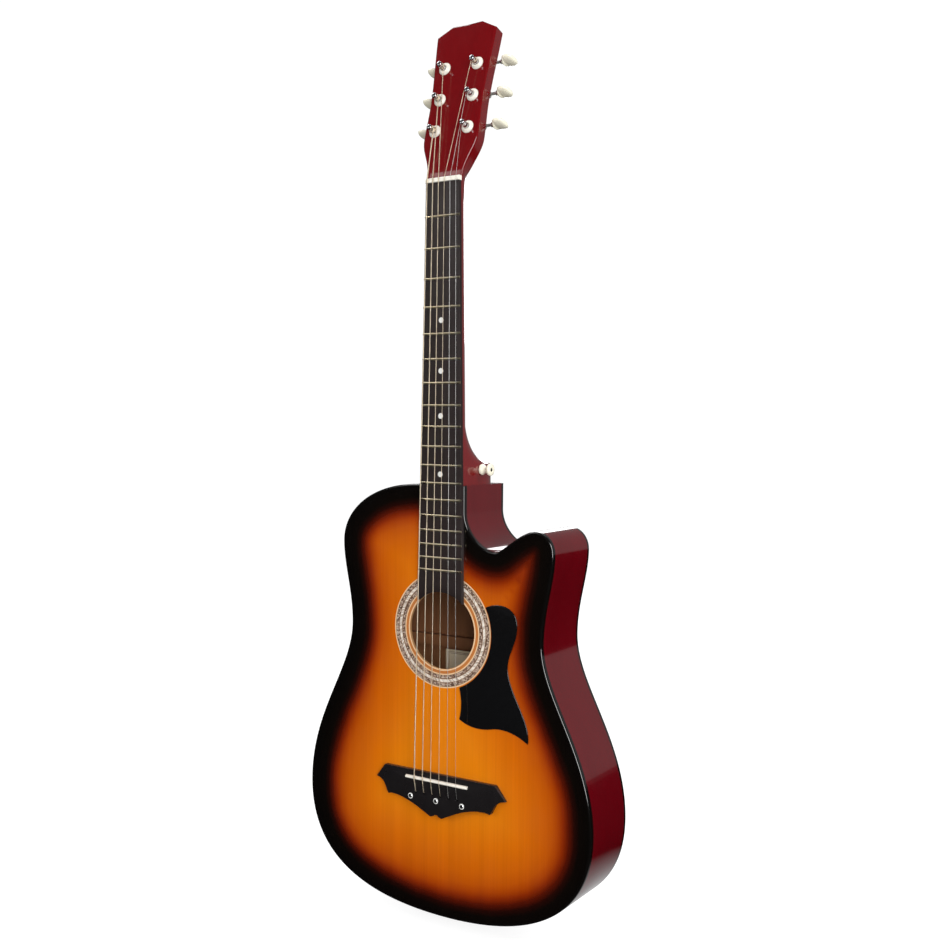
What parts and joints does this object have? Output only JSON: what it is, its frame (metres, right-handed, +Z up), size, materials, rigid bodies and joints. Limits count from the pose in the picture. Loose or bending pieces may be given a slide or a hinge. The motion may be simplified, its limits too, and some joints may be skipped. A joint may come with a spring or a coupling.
{
  "type": "acoustic guitar",
  "caption": "Steel-string acoustic guitar with a single cutaway, open soundhole, pinless bridge, fretted neck and open-gear worm tuners that turn.",
  "frame": {"origin": "tail end of the body, on the centre line, halfway through the body's depth, where a stand carries it", "axes": "+Z up the neck, -Y out of the front of the soundboard, +X towards the cutaway (treble) side"},
  "size_m": [0.36, 0.0916, 0.9727],
  "materials": {
    "sunburst_lacquer": "gloss sunburst lacquer, amber centre fading to black at the edge",
    "wine_lacquer": "gloss wine-red lacquer over wood",
    "neck_lacquer": "gloss crimson lacquer over wood",
    "bare_wood": "unfinished light wood",
    "black_binding": "polished black binding",
    "rosette_inlay": "ringed grey, white and amber inlay under gloss lacquer",
    "guard_plastic": "polished black",
    "bridge_black": "black stained wood, satin",
    "fretboard_wood": "near-black stained wood, satin, with brass frets",
    "white_plastic": "off-white, semi-gloss",
    "bolt_chrome": "polished, with a dark socket",
    "tuner_steel": "bright plated steel",
    "cream_plastic": "cream, polished",
    "plain_string_steel": "bright plain wire",
    "wound_string_bronze": "fine round winding"
  },
  "bodies": {
    "root": {"soundboard": "sunburst_lacquer", "back": "wine_lacquer", "bass_side": "wine_lacquer", "treble_side": "wine_lacquer", "neck": "neck_lacquer", "neck_block": "bare_wood", "tail_block": "bare_wood", "top_lining": "bare_wood", "back_lining": "bare_wood", "bridge_plate": "bare_wood", "top_brace_upper": "bare_wood", "top_brace_middle": "bare_wood", "top_brace_lower": "bare_wood", "back_brace_upper": "bare_wood", "back_brace_lower": "bare_wood", "top_binding": "black_binding", "back_binding": "black_binding", "rosette": "rosette_inlay", "pickguard": "guard_plastic", "bridge": "bridge_black", "fretboard": "fretboard_wood", "saddle": "white_plastic", "nut": "white_plastic", "bushing_1": "white_plastic", "bushing_2": "white_plastic", "bushing_3": "white_plastic", "bushing_4": "white_plastic", "bushing_5": "white_plastic", "bushing_6": "white_plastic", "bridge_bolt_1": "bolt_chrome", "bridge_bolt_2": "bolt_chrome", "bridge_bolt_3": "bolt_chrome", "tuner_plate_bass": "tuner_steel", "tuner_plate_treble": "tuner_steel", "heel_strap_button": "cream_plastic", "end_pin": "cream_plastic", "string_1": "plain_string_steel", "string_2": "plain_string_steel", "string_3": "wound_string_bronze", "string_4": "wound_string_bronze", "string_5": "wound_string_bronze", "string_6": "wound_string_bronze"},
    "tuner_key_6": {"worm_shaft_6": "tuner_steel", "button_6": "cream_plastic"},
    "tuner_post_6": {"post_6": "tuner_steel"},
    "tuner_key_5": {"worm_shaft_5": "tuner_steel", "button_5": "cream_plastic"},
    "tuner_post_5": {"post_5": "tuner_steel"},
    "tuner_key_4": {"worm_shaft_4": "tuner_steel", "button_4": "cream_plastic"},
    "tuner_post_4": {"post_4": "tuner_steel"},
    "tuner_key_3": {"worm_shaft_3": "tuner_steel", "button_3": "cream_plastic"},
    "tuner_post_3": {"post_3": "tuner_steel"},
    "tuner_key_2": {"worm_shaft_2": "tuner_steel", "button_2": "cream_plastic"},
    "tuner_post_2": {"post_2": "tuner_steel"},
    "tuner_key_1": {"worm_shaft_1": "tuner_steel", "button_1": "cream_plastic"},
    "tuner_post_1": {"post_1": "tuner_steel"}
  },
  "joints": [
    {"name": "key_turn_6", "type": "hinge", "parent": "root", "child": "tuner_key_6", "pos_m": [-0.039, -0.00615, 0.84179], "axis": [-1, 0, 0], "continuous": true},
    {"name": "post_turn_6", "type": "hinge", "parent": "root", "child": "tuner_post_6", "pos_m": [-0.0206, -0.02748, 0.83739], "axis": [0, 0.9694, -0.2453], "continuous": true},
    {"name": "key_turn_5", "type": "hinge", "parent": "root", "child": "tuner_key_5", "pos_m": [-0.039, 0.00273, 0.87689], "axis": [-1, 0, 0], "continuous": true},
    {"name": "post_turn_5", "type": "hinge", "parent": "root", "child": "tuner_post_5", "pos_m": [-0.0206, -0.0186, 0.87248], "axis": [0, 0.9694, -0.2453], "continuous": true},
    {"name": "key_turn_4", "type": "hinge", "parent": "root", "child": "tuner_key_4", "pos_m": [-0.039, 0.01161, 0.91198], "axis": [-1, 0, 0], "continuous": true},
    {"name": "post_turn_4", "type": "hinge", "parent": "root", "child": "tuner_post_4", "pos_m": [-0.0206, -0.00972, 0.90758], "axis": [0, 0.9694, -0.2453], "continuous": true},
    {"name": "key_turn_3", "type": "hinge", "parent": "root", "child": "tuner_key_3", "pos_m": [0.039, 0.01161, 0.91198], "axis": [1, 0, 0], "continuous": true},
    {"name": "post_turn_3", "type": "hinge", "parent": "root", "child": "tuner_post_3", "pos_m": [0.0206, -0.00972, 0.90758], "axis": [0, 0.9694, -0.2453], "continuous": true},
    {"name": "key_turn_2", "type": "hinge", "parent": "root", "child": "tuner_key_2", "pos_m": [0.039, 0.00273, 0.87689], "axis": [1, 0, 0], "continuous": true},
    {"name": "post_turn_2", "type": "hinge", "parent": "root", "child": "tuner_post_2", "pos_m": [0.0206, -0.0186, 0.87248], "axis": [0, 0.9694, -0.2453], "continuous": true},
    {"name": "key_turn_1", "type": "hinge", "parent": "root", "child": "tuner_key_1", "pos_m": [0.039, -0.00615, 0.84179], "axis": [1, 0, 0], "continuous": true},
    {"name": "post_turn_1", "type": "hinge", "parent": "root", "child": "tuner_post_1", "pos_m": [0.0206, -0.02748, 0.83739], "axis": [0, 0.9694, -0.2453], "continuous": true}
  ],
  "couplings": [
    {"joint": "post_turn_6", "follows": "key_turn_6", "ratio": 0.071429},
    {"joint": "post_turn_5", "follows": "key_turn_5", "ratio": 0.071429},
    {"joint": "post_turn_4", "follows": "key_turn_4", "ratio": 0.071429},
    {"joint": "post_turn_3", "follows": "key_turn_3", "ratio": -0.071429},
    {"joint": "post_turn_2", "follows": "key_turn_2", "ratio": -0.071429},
    {"joint": "post_turn_1", "follows": "key_turn_1", "ratio": -0.071429}
  ]
}
